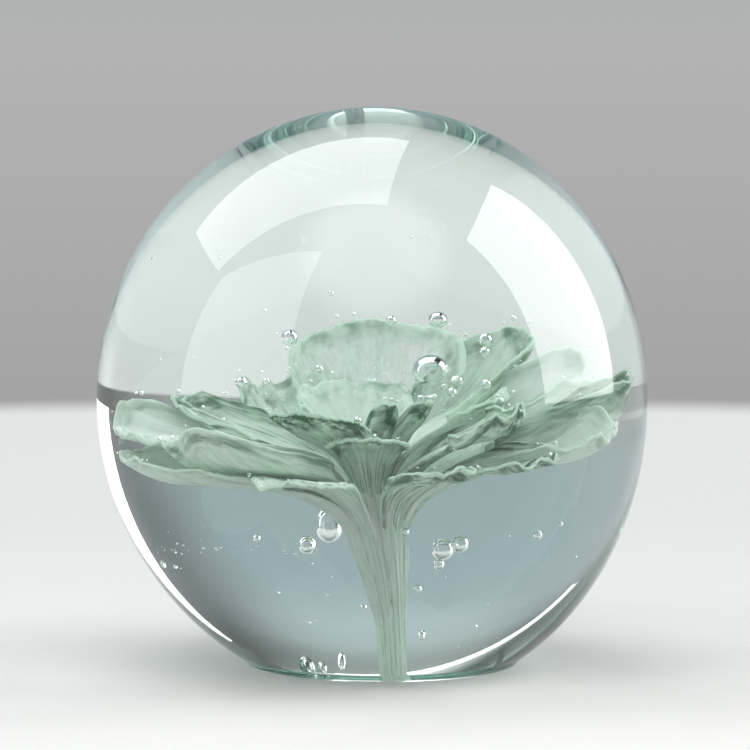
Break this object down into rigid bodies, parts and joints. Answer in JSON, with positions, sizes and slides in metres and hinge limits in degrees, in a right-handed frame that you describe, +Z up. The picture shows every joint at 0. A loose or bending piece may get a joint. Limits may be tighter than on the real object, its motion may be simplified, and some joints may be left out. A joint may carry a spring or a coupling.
{
  "type": "paperweight",
  "caption": "Clear hand-made glass ball with a flat ground foot, holding a pale green trumpet flower with ruffled petals on a fluted stem.",
  "frame": {"origin": "on the plane of the foot, under the centre of the ball's widest section", "axes": "+Z up, +X to the right and -Y towards the front as the flower is usually seen"},
  "size_m": [0.08, 0.08, 0.0813],
  "materials": {
    "clear_glass": "polished",
    "green_frit": "satin"
  },
  "bodies": {
    "root": {"stem": "green_frit", "upper_petal_back": "green_frit", "upper_petal_back_right": "green_frit", "upper_petal_right": "green_frit", "upper_petal_front_right": "green_frit", "upper_petal_front_lip": "green_frit", "upper_petal_left_curl": "green_frit", "upper_petal_left_shell": "green_frit", "upper_petal_back_left": "green_frit", "lower_petal_left": "green_frit", "lower_petal_front_left": "green_frit", "lower_petal_front_right": "green_frit", "lower_petal_right_wing": "green_frit", "lower_petal_right_fan": "green_frit", "lower_petal_right_curl": "green_frit", "lower_petal_back_right": "green_frit", "lower_petal_back": "green_frit", "lower_petal_back_left": "green_frit", "inner_petal_back": "green_frit", "inner_petal_left": "green_frit", "inner_petal_right": "green_frit", "inner_fold_front": "green_frit", "inner_fold_right": "green_frit", "core_gather": "clear_glass", "outer_gather": "clear_glass"}
  },
  "joints": []
}
